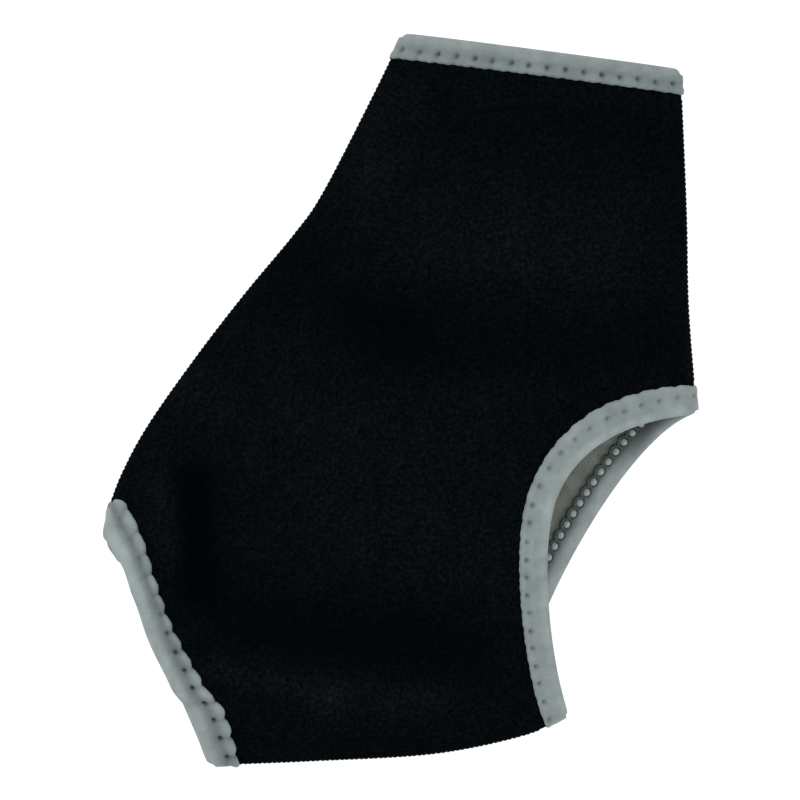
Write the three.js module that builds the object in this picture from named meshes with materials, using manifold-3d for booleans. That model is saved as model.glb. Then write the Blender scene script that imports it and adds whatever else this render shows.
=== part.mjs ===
// A slip-on ankle brace: a bent sleeve of black foam laminate with an open heel, lying on its side.
// Two panels, near (upper) and far (lower), meet at seams down the shin, down the heel tendon and along the sole.
// Each panel has a lining of its own shape, and a folded tape binds the leg, toe and heel openings.
// Millimetres. +X points to the heel, +Y to the leg opening, +Z up. The origin is the middle of the base.
import * as THREE from "three";
import Module from "manifold-3d";

// Outline of a panel laid flat, walked from the leg opening's shin corner round to the toe opening's shin corner.
const LEG_WIDTH = 88;
const TENDON_LENGTH = 103.4;
const HEEL_CHORD = 103.9;
const SOLE_LENGTH = 109.5;
const TOE_WIDTH = 85.2;

// Headings of those edges in degrees, counted from +X towards +Y.
const LEG_HEADING = -7.7;
const TENDON_HEADING = -87.3;
const HEEL_HEADING = -113.2;
const SOLE_HEADING = -172.1;
const TOE_HEADING = 112.7;

// Heights of the sleeve as it lies, outside to outside.
const LEG_HEIGHT = 25;
const ANKLE_HEIGHT = 30;
const TOE_HEIGHT = 23;

// The laminate, the lining and the tape.
const FOAM = 2.8;
const LINING = 0.5;
const TAPE = 0.9;
const CLEARANCE = 0.3;
const LEG_TAPE_WIDTH = 5.4;
const TOE_TAPE_WIDTH = 6.6;
const HEEL_TAPE_WIDTH = 7;
const TAPE_ROLL = 2;
const INNER_TAPE_SHARE = 0.8;

// Where the seams lie as a share of the height, how full each half of a section is, and how far the floor presses in.
const SEAM_LEVEL = 0.45;
const NEAR_FULLNESS = 0.75;
const FAR_FULLNESS = 0.85;
const FLOOR_PRESS = 2.2;
const FLOOR_RUN = 20;

// Steps of the surface.
const COLUMNS = 13;
const LEG_ROWS = 5;
const HEEL_ROWS = 20;
const TOE_ROWS = 6;
const ARC_SAMPLES = 60;

// Bows of the seams: how far the seam stands outside its chord, both as shares of the chord.
const SHIN_BOWS = [
  { along: 0.0, out: 0.0 },
  { along: 0.12, out: -0.012 },
  { along: 0.31, out: -0.026 },
  { along: 0.4, out: -0.021 },
  { along: 0.54, out: -0.001 },
  { along: 0.68, out: 0.014 },
  { along: 0.83, out: 0.0235 },
  { along: 0.93, out: 0.018 },
  { along: 1.0, out: 0.004 },
];
const TENDON_BOWS = [
  { along: 0.0, out: 0.0 },
  { along: 0.4, out: -0.002 },
  { along: 0.7, out: -0.0095 },
  { along: 1.0, out: 0.0 },
];
const SOLE_BOWS = [
  { along: 0.0, out: 0.0 },
  { along: 0.12, out: 0.036 },
  { along: 0.38, out: 0.053 },
  { along: 0.72, out: 0.027 },
  { along: 1.0, out: 0.0 },
];

// Waves of the toe opening's edge: where across the foot from the shin seam, and how far out, a share of its width.
const NEAR_TOE_WAVES = [
  { across: 0.0, out: 0.0 },
  { across: 0.05, out: 0.004 },
  { across: 0.19, out: 0.0 },
  { across: 0.31, out: 0.008 },
  { across: 0.5, out: 0.019 },
  { across: 0.69, out: 0.012 },
  { across: 0.8, out: -0.013 },
  { across: 1.0, out: 0.0 },
];
const FAR_TOE_WAVES = [
  { across: 0.0, out: 0.0 },
  { across: 0.05, out: 0.016 },
  { across: 0.11, out: 0.012 },
  { across: 0.19, out: -0.008 },
  { across: 0.35, out: 0.0 },
  { across: 1.0, out: 0.0 },
];

// The heel opening's two arcs, as shares of the heel chord: the deepest point, and the reach of each handle.
const NEAR_ARC = { along: 0.4, deep: 0.298, start: 0.16, before: 0.2, after: 0.17, end: 0.13 };
const FAR_ARC = { along: 0.757, deep: 0.192, start: 0.12, before: 0.36, after: 0.1, end: 0.12 };
// How far the heel that the opening leaves out would bulge, which shapes the rows that end at the opening.
const MISSING_HEEL = 0.5;

// Where the rows through the heel opening's two corners meet the shin seam, as shares of that seam.
const SHIN_AT_TENDON = 0.49;
const SHIN_AT_SOLE = 0.8;

// Folds of the near panel. Each runs between two points, given by row and by share across it from shin to back.
// breadth and rise are shares of the leg width, and a hollow has a negative rise.
const FOLDS = [
  { name: "ankle crease", row0: 0.36, across0: 0.1, row1: 0.36, across1: 0.72, breadth: 0.17, rise: -0.026 },
  { name: "toe groove", row0: 0.8, across0: 0.16, row1: 0.93, across1: 0.62, breadth: 0.055, rise: -0.018 },
  { name: "sole groove", row0: 0.93, across0: 0.8, row1: 0.7, across1: 0.86, breadth: 0.06, rise: -0.014 },
  { name: "calf swell", row0: 0.17, across0: 0.45, row1: 0.17, across1: 0.8, breadth: 0.28, rise: 0.014 },
  { name: "instep swell", row0: 0.6, across0: 0.35, row1: 0.55, across1: 0.6, breadth: 0.3, rise: 0.018 },
];

const WALL = FOAM + CLEARANCE + LINING;
const PROUD = CLEARANCE + TAPE;

const clamp = (x) => Math.min(1, Math.max(0, x));
const smooth = (x) => x * x * (3 - 2 * x);

function walk(from, heading, length) {
  const angle = THREE.MathUtils.degToRad(heading);
  return from.clone().add(new THREE.Vector2(Math.cos(angle), Math.sin(angle)).multiplyScalar(length));
}

// Where value(x) passes zero between low and high.
function solve(value, low, high) {
  const rising = value(high) > value(low);
  for (let i = 0; i < 40; i++) {
    const middle = (low + high) / 2;
    if (value(middle) > 0 === rising) high = middle;
    else low = middle;
  }
  return (low + high) / 2;
}

const legFront = new THREE.Vector2(0, 0);
const legBack = walk(legFront, LEG_HEADING, LEG_WIDTH);
const heelTop = walk(legBack, TENDON_HEADING, TENDON_LENGTH);
const heelSole = walk(heelTop, HEEL_HEADING, HEEL_CHORD);
const toeSole = walk(heelSole, SOLE_HEADING, SOLE_LENGTH);
const toeFront = walk(toeSole, TOE_HEADING, TOE_WIDTH);

// A seam that stands off its chord as its table says. side is 1 where outside is to the left of the way.
function bowedSeam(from, to, bows, side) {
  const chord = to.clone().sub(from);
  const outside = new THREE.Vector2(-chord.y, chord.x).multiplyScalar(side);
  return new THREE.SplineCurve(
    bows.map(({ along, out }) => from.clone().addScaledVector(chord, along).addScaledVector(outside, out)),
  );
}

// A point at a share of a curve's length. Past either end it runs on straight.
function pointAt(curve, share) {
  const inside = clamp(share);
  return curve.getPointAt(inside).addScaledVector(curve.getTangentAt(inside), (share - inside) * curve.getLength());
}

const shinSeam = bowedSeam(legFront, toeFront, SHIN_BOWS, -1);
const tendonSeam = bowedSeam(legBack, heelTop, TENDON_BOWS, 1);
const soleSeam = bowedSeam(heelSole, toeSole, SOLE_BOWS, 1);
const missingHeel = new THREE.CubicBezierCurve(
  heelTop,
  heelTop.clone().addScaledVector(tendonSeam.getTangentAt(1), HEEL_CHORD * MISSING_HEEL),
  heelSole.clone().addScaledVector(soleSeam.getTangentAt(0), -HEEL_CHORD * MISSING_HEEL),
  heelSole,
);

// The back of the outline, from the leg opening past the missing heel to the toe opening. A row is a share of it.
const backLength = tendonSeam.getLength() + missingHeel.getLength() + soleSeam.getLength();
const ROW_AT_TENDON = tendonSeam.getLength() / backLength;
const ROW_AT_SOLE = 1 - soleSeam.getLength() / backLength;
function backPoint(row) {
  if (row <= ROW_AT_TENDON) return pointAt(tendonSeam, row / ROW_AT_TENDON);
  if (row >= ROW_AT_SOLE) return pointAt(soleSeam, (row - ROW_AT_SOLE) / (1 - ROW_AT_SOLE));
  return pointAt(missingHeel, (row - ROW_AT_TENDON) / (ROW_AT_SOLE - ROW_AT_TENDON));
}

const shinShares = new THREE.SplineCurve([
  new THREE.Vector2(0, 0),
  new THREE.Vector2(ROW_AT_TENDON, SHIN_AT_TENDON),
  new THREE.Vector2(ROW_AT_SOLE, SHIN_AT_SOLE),
  new THREE.Vector2(1, 1),
]);
function shinPoint(row) {
  if (row <= 0 || row >= 1) return pointAt(shinSeam, row);
  const t = solve((x) => shinShares.getPoint(x).x - row, 0, 1);
  return pointAt(shinSeam, shinShares.getPoint(t).y);
}

function planPoint(row, across) {
  return shinPoint(row).lerp(backPoint(row), across);
}

// How the plan moves with the row and with the share across it.
function planSlopes(row, across) {
  const step = 0.002;
  const byRow = planPoint(row + step, across).sub(planPoint(row - step, across)).divideScalar(2 * step);
  const byAcross = backPoint(row).sub(shinPoint(row));
  return { byRow, byAcross };
}

// The row and the share across it of a point of the plan.
function rowsAt(point) {
  const side = (row) => {
    const shin = shinPoint(row);
    return backPoint(row).sub(shin).cross(point.clone().sub(shin));
  };
  const row = solve(side, 0, 1);
  const shin = shinPoint(row);
  const whole = backPoint(row).sub(shin);
  return { row, across: clamp(point.clone().sub(shin).dot(whole) / whole.lengthSq()) };
}

// Half of the turn round a section, from the shin seam to the back seam, is written as 0 to 1.
const acrossAt = (turn) => (1 - Math.cos(Math.PI * turn)) / 2;
const turnAt = (across) => Math.acos(1 - 2 * clamp(across)) / Math.PI;

// An arc of the heel opening, as points of the plan. It leaves both seams squarely.
function heelArc({ along, deep, start, before, after, end }) {
  const chord = heelSole.clone().sub(heelTop);
  const inwards = new THREE.Vector2(chord.y, -chord.x);
  const deepest = heelTop.clone().addScaledVector(chord, along).addScaledVector(inwards, deep);
  const tendon = tendonSeam.getTangentAt(1);
  const sole = soleSeam.getTangentAt(0);
  const acrossTendon = new THREE.Vector2(tendon.y, -tendon.x);
  const acrossSole = new THREE.Vector2(sole.y, -sole.x);
  const upper = new THREE.CubicBezierCurve(
    heelTop,
    heelTop.clone().addScaledVector(acrossTendon, HEEL_CHORD * start),
    deepest.clone().addScaledVector(chord, -before),
    deepest,
  );
  const lower = new THREE.CubicBezierCurve(
    deepest,
    deepest.clone().addScaledVector(chord, after),
    heelSole.clone().addScaledVector(acrossSole, HEEL_CHORD * end),
    heelSole,
  );
  return Array.from({ length: ARC_SAMPLES + 1 }, (_, i) => {
    const t = 1 - Math.cos((Math.PI * i) / ARC_SAMPLES);
    return t <= 1 ? upper.getPoint(t) : lower.getPoint(t - 1);
  });
}
const nearArc = heelArc(NEAR_ARC);
const farArc = heelArc(FAR_ARC);

// How far a point of the plan lies from the polyline through some points.
function distanceTo(line, point) {
  let least = Infinity;
  for (let i = 1; i < line.length; i++) {
    const step = line[i].clone().sub(line[i - 1]);
    const share = clamp(point.clone().sub(line[i - 1]).dot(step) / step.lengthSq());
    least = Math.min(least, line[i - 1].clone().addScaledVector(step, share).distanceTo(point));
  }
  return least;
}

// The far panel stands off the floor by the tape's thickness where the tape goes round its edge.
const tapedEdges = [
  { line: [legFront, legBack], width: LEG_TAPE_WIDTH },
  { line: [toeSole, toeFront], width: TOE_TAPE_WIDTH },
  { line: farArc, width: HEEL_TAPE_WIDTH },
];
function liftAt(point) {
  const lifts = tapedEdges.map(({ line, width }) => {
    const beyond = Math.max(0, distanceTo(line, point) - 1.3 * width);
    return PROUD * smooth(clamp(1 - beyond / FLOOR_RUN));
  });
  return Math.max(...lifts);
}

const folds = FOLDS.map(({ row0, across0, row1, across1, breadth, rise }) => ({
  line: [planPoint(row0, across0), planPoint(row1, across1)],
  breadth: breadth * LEG_WIDTH,
  rise: rise * LEG_WIDTH,
}));
function foldAt(point) {
  return folds.reduce((sum, { line, breadth, rise }) => {
    return sum + rise * Math.exp(-((distanceTo(line, point) / breadth) ** 2));
  }, 0);
}

function heightAt(row) {
  if (row < 0.5) return LEG_HEIGHT + (ANKLE_HEIGHT - LEG_HEIGHT) * smooth(clamp(row / 0.5));
  return ANKLE_HEIGHT + (TOE_HEIGHT - ANKLE_HEIGHT) * smooth(clamp((row - 0.5) / 0.5));
}

// The point of the sleeve's wall at a row, a turn from the shin seam and a depth under the outer face.
// side is 1 on the near panel, -1 on the far panel and 0 on a seam. gap parts the panels where they meet.
function wallPoint(side, row, turn, depth, gap = CLEARANCE) {
  const shin = shinPoint(row);
  const back = backPoint(row);
  const width = shin.distanceTo(back);
  const place = shin.lerp(back, (depth + (width - 2 * depth) * acrossAt(turn)) / width);
  const height = heightAt(row);
  const seam = SEAM_LEVEL * height;
  const arch = Math.sin(Math.PI * clamp(turn));
  let z = seam;
  if (side > 0) {
    z += gap / 2 + (height - seam - depth) * arch ** NEAR_FULLNESS + arch * foldAt(place);
  } else if (side < 0) {
    z -= gap / 2 + (seam + FLOOR_PRESS - depth) * arch ** FAR_FULLNESS;
    z = Math.max(z, liftAt(place) + depth);
  }
  return new THREE.Vector3(place.x, place.y, z);
}

// A value from a table of waves, eased between its rows.
function waveAt(waves, across) {
  const next = Math.max(1, waves.findIndex((row) => row.across >= across));
  const [a, b] = [waves[next - 1], waves[next]];
  return a.out + (b.out - a.out) * smooth(clamp((across - a.across) / (b.across - a.across)));
}

// Edges of openings. Each point has its place on the wall and the step in row and share that goes 1 mm inwards.
function legEdge(side, turn) {
  const across = acrossAt(turn);
  const inwards = legBack.clone().sub(legFront).normalize();
  inwards.set(inwards.y, -inwards.x);
  const rowStep = 1 / planSlopes(0, across).byRow.dot(inwards);
  return { side, row: 0, across, rowStep, acrossStep: 0 };
}

function toeEdge(side, turn) {
  const across = acrossAt(turn);
  const inwards = toeFront.clone().sub(toeSole).normalize();
  inwards.set(inwards.y, -inwards.x);
  const rowStep = 1 / planSlopes(1, across).byRow.dot(inwards);
  const waves = side > 0 ? NEAR_TOE_WAVES : FAR_TOE_WAVES;
  const out = side === 0 ? 0 : waveAt(waves, across) * TOE_WIDTH;
  return { side, row: 1 - out * rowStep, across, rowStep, acrossStep: 0 };
}

// A heel edge has its points along the arc, from the tendon seam to the sole seam, closer together near the seams.
function heelEdge(side, arc) {
  const places = arc.map((point, i) => {
    if (i === 0) return { row: ROW_AT_TENDON, across: 1 };
    if (i === arc.length - 1) return { row: ROW_AT_SOLE, across: 1 };
    return rowsAt(point);
  });
  const rim = places.map(({ row, across }) => wallPoint(side, row, turnAt(across), 0));
  const reach = [0];
  for (let i = 1; i < rim.length; i++) reach.push(reach[i - 1] + rim[i].distanceTo(rim[i - 1]));
  const points = [];
  for (let k = 0; k <= HEEL_ROWS; k++) {
    const even = k / HEEL_ROWS;
    const target = reach[rim.length - 1] * THREE.MathUtils.lerp(even, acrossAt(even), 0.6);
    const i = Math.max(1, reach.findIndex((length) => length >= target - 1e-9));
    const share = (target - reach[i - 1]) / (reach[i] - reach[i - 1]);
    const row = THREE.MathUtils.lerp(places[i - 1].row, places[i].row, share);
    const across = THREE.MathUtils.lerp(places[i - 1].across, places[i].across, share);
    const along = arc[i].clone().sub(arc[i - 1]).normalize();
    const inwards = new THREE.Vector2(along.y, -along.x);
    const { byRow, byAcross } = planSlopes(row, across);
    const area = byRow.cross(byAcross);
    const rowStep = inwards.cross(byAcross) / area;
    const acrossStep = k % HEEL_ROWS === 0 ? 0 : byRow.cross(inwards) / area;
    points.push({ side: k % HEEL_ROWS === 0 ? 0 : side, row, across, rowStep, acrossStep });
  }
  return points;
}

// A point of an edge moved inwards over the wall, at a depth under the outer face.
function edgePoint({ side, row, across, rowStep, acrossStep }, inwards, depth) {
  return wallPoint(side, row + rowStep * inwards, turnAt(across + acrossStep * inwards), depth);
}

const turns = Array.from({ length: COLUMNS + 1 }, (_, i) => i / COLUMNS);
const heelEdges = { near: heelEdge(1, nearArc), far: heelEdge(-1, farArc) };

// The rows of a panel. Each runs from a place on the shin seam to a place on the back seam or on the heel's edge.
function panelRows(side) {
  const rows = [];
  const heel = side > 0 ? heelEdges.near : heelEdges.far;
  for (let j = 0; j <= LEG_ROWS; j++) {
    rows.push(turns.map((turn) => {
      const row = THREE.MathUtils.lerp(legEdge(side, turn).row, ROW_AT_TENDON, j / LEG_ROWS);
      return { row, turn };
    }));
  }
  for (let k = 1; k < HEEL_ROWS; k++) {
    const start = THREE.MathUtils.lerp(ROW_AT_TENDON, ROW_AT_SOLE, k / HEEL_ROWS);
    const missing = 1 - turnAt(heel[k].across);
    rows.push(turns.map((turn) => {
      const row = THREE.MathUtils.lerp(start, heel[k].row, turn);
      return { row, turn: turn - missing * turn ** 3 };
    }));
  }
  for (let j = 0; j <= TOE_ROWS; j++) {
    rows.push(turns.map((turn) => {
      const row = THREE.MathUtils.lerp(ROW_AT_SOLE, toeEdge(side, turn).row, j / TOE_ROWS);
      return { row, turn };
    }));
  }
  return rows;
}

// The same rows with a rim of places round them: past the openings' edges, and through the seams to the other side.
function widerRows(side) {
  const rows = panelRows(side);
  const heel = side > 0 ? heelEdges.near : heelEdges.far;
  rows.unshift(turns.map((turn) => {
    const edge = legEdge(side, turn);
    return { row: edge.row - edge.rowStep * CLEARANCE, turn };
  }));
  rows.push(turns.map((turn) => {
    const edge = toeEdge(side, turn);
    return { row: edge.row - edge.rowStep * CLEARANCE, turn };
  }));
  return rows.map((places, j) => {
    const k = j - 1 - LEG_ROWS;
    const beyondSeam = (place) => ({ ...place, gap: -CLEARANCE });
    let last = beyondSeam(places[COLUMNS]);
    if (k > 0 && k < HEEL_ROWS) {
      const { row, across, rowStep, acrossStep } = heel[k];
      last = { row: row - rowStep * CLEARANCE, turn: turnAt(across - acrossStep * CLEARANCE) };
    }
    return [beyondSeam(places[0]), ...places, last];
  });
}

// A closed body between two depths of one side's wall.
function wallBody(side, rows, outer, inner) {
  const across = rows[0].length;
  const points = [];
  for (const depth of [outer, inner]) {
    for (const place of rows.flat()) points.push(wallPoint(side, place.row, place.turn, depth, place.gap));
  }
  const layer = rows.length * across;
  const faces = [];
  const quad = (a, b, c, d) => faces.push([a, b, c], [a, c, d]);
  for (let j = 0; j + 1 < rows.length; j++) {
    for (let i = 0; i + 1 < across; i++) {
      const a = j * across + i;
      quad(a, a + across, a + across + 1, a + 1);
      quad(layer + a, layer + a + 1, layer + a + across + 1, layer + a + across);
    }
  }
  const rim = [];
  for (let i = 0; i + 1 < across; i++) rim.push(i);
  for (let j = 0; j + 1 < rows.length; j++) rim.push((j + 1) * across - 1);
  for (let i = across - 1; i > 0; i--) rim.push((rows.length - 1) * across + i);
  for (let j = rows.length - 1; j > 0; j--) rim.push(j * across);
  rim.forEach((a, n) => {
    const b = rim[(n + 1) % rim.length];
    quad(a, b, layer + b, layer + a);
  });
  return body(points, faces);
}

// Vertices and triangles with the faces turned outwards.
function body(points, faces) {
  const volume = faces.reduce((sum, [a, b, c]) => {
    return sum + points[a].dot(new THREE.Vector3().crossVectors(points[b], points[c]));
  }, 0);
  return { points, faces: volume > 0 ? faces : faces.map(([a, b, c]) => [a, c, b]) };
}

// The outline of a folded tape across the wall: how far inwards from the edge, and how deep under the outer face.
function tapeOutline(width) {
  const middle = WALL / 2;
  const half = middle + PROUD;
  const outline = [
    [width, -PROUD],
    [width / 2, -PROUD],
    [0, -PROUD],
  ];
  for (let i = 1; i < 6; i++) {
    const angle = (Math.PI * i) / 6;
    outline.push([-TAPE_ROLL * Math.sin(angle), middle - half * Math.cos(angle)]);
  }
  outline.push([0, WALL + PROUD], [width * INNER_TAPE_SHARE, WALL + PROUD]);
  return outline;
}

// A tape round an opening, hollowed by the room that the walls take.
function tapeBody(edge, width) {
  const outline = tapeOutline(width);
  const points = [];
  for (const place of edge) {
    for (const [inwards, depth] of outline) points.push(edgePoint(place, inwards, depth));
  }
  const faces = [];
  const around = outline.length;
  for (let k = 0; k < edge.length; k++) {
    const next = (k + 1) % edge.length;
    for (let m = 0; m < around; m++) {
      const n = (m + 1) % around;
      const [a, b, c, d] = [k * around + m, next * around + m, next * around + n, k * around + n];
      faces.push([a, b, c], [a, c, d]);
    }
  }
  return fromSolid(toSolid(body(points, faces)).subtract(wallRoom));
}

const wasm = await Module();
wasm.setup();

function toSolid({ points, faces }) {
  return new wasm.Manifold(
    new wasm.Mesh({
      numProp: 3,
      vertProperties: new Float32Array(points.flatMap((point) => point.toArray())),
      triVerts: new Uint32Array(faces.flat()),
    }),
  );
}

function fromSolid(solid) {
  const { numProp, vertProperties, triVerts } = solid.getMesh();
  const points = [];
  for (let i = 0; i < vertProperties.length; i += numProp) {
    points.push(new THREE.Vector3(...vertProperties.slice(i, i + 3)));
  }
  const faces = [];
  for (let i = 0; i < triVerts.length; i += 3) faces.push([...triVerts.slice(i, i + 3)]);
  return { points, faces };
}

// The room that both panels and their linings take, with the clearance all round.
const wallRoom = toSolid(wallBody(1, widerRows(1), -CLEARANCE, WALL + CLEARANCE)).add(
  toSolid(wallBody(-1, widerRows(-1), -CLEARANCE, WALL + CLEARANCE)),
);

// The whole way round an opening: the near half forwards and the far half back. The seams' points are used once.
function loop(edgeAt) {
  const near = turns.map((turn) => edgeAt(turn === 0 || turn === 1 ? 0 : 1, turn));
  const far = turns.slice(1, -1).map((turn) => edgeAt(-1, turn));
  return [...near, ...far.reverse()];
}
const heelLoop = [...heelEdges.near, ...heelEdges.far.slice(1, -1).reverse()];

const black = { color: 0x020609, roughness: 0.95, metalness: 0 };
const grey = { color: 0x8a9596, roughness: 0.85, metalness: 0 };
const olive = { color: 0x5d6560, roughness: 0.9, metalness: 0 };

const group = new THREE.Group();
function addMesh(name, { points, faces }, finish) {
  const geometry = new THREE.BufferGeometry().setFromPoints(points);
  geometry.setIndex(faces.flat());
  geometry.computeVertexNormals();
  const mesh = new THREE.Mesh(geometry, new THREE.MeshStandardMaterial(finish));
  mesh.name = name;
  group.add(mesh);
}

addMesh("near_panel", wallBody(1, panelRows(1), 0, FOAM), black);
addMesh("far_panel", wallBody(-1, panelRows(-1), 0, FOAM), black);
addMesh("near_lining", wallBody(1, panelRows(1), FOAM + CLEARANCE, WALL), olive);
addMesh("far_lining", wallBody(-1, panelRows(-1), FOAM + CLEARANCE, WALL), olive);
addMesh("leg_binding", tapeBody(loop(legEdge), LEG_TAPE_WIDTH), grey);
addMesh("toe_binding", tapeBody(loop(toeEdge), TOE_TAPE_WIDTH), grey);
addMesh("heel_binding", tapeBody(heelLoop, HEEL_TAPE_WIDTH), grey);

const box = new THREE.Box3().setFromObject(group);
const middle = box.getCenter(new THREE.Vector3());
group.position.set(-middle.x, -middle.y, -box.min.z);

export default group;
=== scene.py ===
# %% [markdown]
# # A slip-on ankle brace, lying on its side
# The real one is cut from black foam laminate, sewn into a bent sleeve and edged with grey knit tape. The
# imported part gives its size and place. This lesson rebuilds each piece finely in the same frame.

import math

import bpy
import numpy as np
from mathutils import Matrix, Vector


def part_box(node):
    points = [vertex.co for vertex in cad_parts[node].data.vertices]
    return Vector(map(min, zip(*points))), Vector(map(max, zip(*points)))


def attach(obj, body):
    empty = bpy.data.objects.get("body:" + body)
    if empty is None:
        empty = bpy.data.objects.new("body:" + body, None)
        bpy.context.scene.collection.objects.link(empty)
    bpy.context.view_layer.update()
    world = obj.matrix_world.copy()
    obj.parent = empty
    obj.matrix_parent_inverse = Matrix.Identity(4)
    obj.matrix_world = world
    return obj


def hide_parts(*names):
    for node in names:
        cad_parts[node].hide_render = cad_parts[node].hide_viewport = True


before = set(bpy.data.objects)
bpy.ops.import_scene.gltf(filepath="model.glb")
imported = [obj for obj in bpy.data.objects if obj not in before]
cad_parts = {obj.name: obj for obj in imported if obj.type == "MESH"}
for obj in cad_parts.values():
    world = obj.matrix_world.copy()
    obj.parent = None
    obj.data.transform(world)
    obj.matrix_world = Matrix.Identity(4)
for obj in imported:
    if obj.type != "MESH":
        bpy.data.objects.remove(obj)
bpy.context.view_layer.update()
scene = bpy.context.scene

# %% [markdown]
# ## The outline
# A sleeve like this starts as a paper pattern: two like panels, each with a leg edge, a shin edge, a heel
# tendon edge, a heel cut-out, a sole edge and a toe edge. It could be drawn point by point, but a walk
# round the pattern by lengths and headings, with small tables for how the seams bow, is easier to change.
# All lengths here are in millimetres.

# %% The pattern's edges
LENGTHS = {"leg": 88, "tendon": 103.4, "heel": 103.9, "sole": 109.5, "toe": 85.2}
HEADINGS = {"leg": -7.7, "tendon": -87.3, "heel": -113.2, "sole": -172.1, "toe": 112.7}
corners = [np.zeros(2)]
for edge in LENGTHS:
    angle = math.radians(HEADINGS[edge])
    corners.append(corners[-1] + LENGTHS[edge] * np.array([math.cos(angle), math.sin(angle)]))
leg_front, leg_back, heel_top, heel_sole, toe_sole, toe_front = corners
print("pattern corners", [tuple(c.round(1)) for c in corners])

# %% Smooth lines through tables of points
def catmull(points, steps=60):
    """A smooth line through points, as a dense polyline."""
    p = np.asarray(points, float)
    before = np.vstack([p[:1], p[:-1]])[:-1]
    after = np.vstack([p[1:], p[-1:]])[1:]
    a, b = p[:-1], p[1:]
    v0, v1 = (b - before) / 2, (after - a) / 2
    t = np.linspace(0, 1, steps, endpoint=False)[None, :, None]
    a, b, v0, v1 = (x[:, None, :] for x in (a, b, v0, v1))
    line = (2 * a - 2 * b + v0 + v1) * t**3 + (3 * b - 3 * a - 2 * v0 - v1) * t**2 + v0 * t + a
    return np.vstack([line.reshape(-1, p.shape[1]), p[-1:]])


def bezier(p0, p1, p2, p3, t):
    t = np.asarray(t)[:, None]
    return p0 * (1 - t) ** 3 + 3 * p1 * t * (1 - t) ** 2 + 3 * p2 * t**2 * (1 - t) + p3 * t**3


def bowed(start, end, bows, side):
    """A seam that stands off its chord. bows are rows of (share along, share out)."""
    chord = end - start
    outside = np.array([-chord[1], chord[0]]) * side
    return catmull([start + chord * along + outside * out for along, out in bows])


def unit(v):
    return v / np.linalg.norm(v)


def unit_rows(vectors):
    return vectors / np.linalg.norm(vectors, axis=1)[:, None]


def turned_right(v):
    """Directions of the plan, turned a quarter to the right."""
    return np.stack([v[..., 1], -v[..., 0]], -1)


def read_table(table, places, x):
    """The row of a table at x, where places says where its rows lie."""
    return np.stack([np.interp(x, places, column) for column in table.T], -1)


def reach_along(line):
    """How far along a line each of its points lies."""
    return np.concatenate([[0], np.cumsum(np.linalg.norm(np.diff(line, axis=0), axis=1))])


def at_length(line, share):
    """The point at a share of a line's length. Past either end it runs on straight."""
    length = reach_along(line)
    share = np.asarray(share, float)
    point = read_table(line, length, np.clip(share, 0, 1) * length[-1])
    first, last = unit(line[1] - line[0]), unit(line[-1] - line[-2])
    over = (share - np.clip(share, 0, 1)) * length[-1]
    return point + np.where(over[..., None] < 0, first, last) * over[..., None]


def line_length(line):
    return np.linalg.norm(np.diff(line, axis=0), axis=1).sum()


# %% The three seams and the heel that is left out
SHIN_BOWS = [(0, 0), (0.12, -0.012), (0.31, -0.026), (0.4, -0.021), (0.54, -0.001), (0.68, 0.014),
             (0.83, 0.0235), (0.93, 0.018), (1, 0.004)]
TENDON_BOWS = [(0, 0), (0.4, -0.002), (0.7, -0.0095), (1, 0)]
SOLE_BOWS = [(0, 0), (0.12, 0.036), (0.38, 0.053), (0.72, 0.027), (1, 0)]
shin_seam = bowed(leg_front, toe_front, SHIN_BOWS, -1)
tendon_seam = bowed(leg_back, heel_top, TENDON_BOWS, 1)
sole_seam = bowed(heel_sole, toe_sole, SOLE_BOWS, 1)

tendon_end = unit(tendon_seam[-1] - tendon_seam[-2])
sole_start = unit(sole_seam[1] - sole_seam[0])
HEEL = LENGTHS["heel"]
heel_handles = heel_top + tendon_end * HEEL / 2, heel_sole - sole_start * HEEL / 2
missing_heel = bezier(heel_top, *heel_handles, heel_sole, np.linspace(0, 1, 300))
back_parts = [line_length(line) for line in (tendon_seam, missing_heel, sole_seam)]
ROW_A = back_parts[0] / sum(back_parts)
ROW_B = 1 - back_parts[2] / sum(back_parts)
print("seams", round(line_length(shin_seam), 1), [round(v, 1) for v in back_parts])

# %% [markdown]
# ## Rows across the sleeve
# The sleeve is a bent tube, and a bent tube is easy to build from straight rows that run from the shin seam
# to the back. A row is named by its share of the way down the back, and a place on it by its turn: 0 at the
# shin seam and 1 at the back seam. The two ends of every row are kept in a table, so a place is found by
# looking up.

# %% The table of rows
OVERRUN = 0.12  # the rows run on a little past both openings
table_rows = np.linspace(-OVERRUN, 1 + OVERRUN, 3101)
shares = catmull([(0, 0), (ROW_A, 0.49), (ROW_B, 0.8), (1, 1)], 200)  # of the back and of the shin
between_edges = (table_rows > 0) & (table_rows < 1)
shin_share = np.where(between_edges, np.interp(table_rows, shares[:, 0], shares[:, 1]), table_rows)
shin_table = at_length(shin_seam, shin_share)
on_heel = at_length(missing_heel, np.clip((table_rows - ROW_A) / (ROW_B - ROW_A), 0, 1))
on_sole = at_length(sole_seam, (table_rows - ROW_B) / (1 - ROW_B))
back_table = np.where((table_rows >= ROW_B)[:, None], on_sole, on_heel)
back_table = np.where((table_rows <= ROW_A)[:, None], at_length(tendon_seam, table_rows / ROW_A), back_table)


def look_up(table, row):
    return read_table(table, table_rows, row)


def across_at(turn):
    """The share across a row, seen from above, at a turn round it."""
    return (1 - np.cos(np.pi * np.asarray(turn))) / 2


def turn_at(across):
    return np.arccos(1 - 2 * np.clip(across, 0, 1)) / np.pi


def cross(a, b):
    return a[..., 0] * b[..., 1] - a[..., 1] * b[..., 0]


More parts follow.
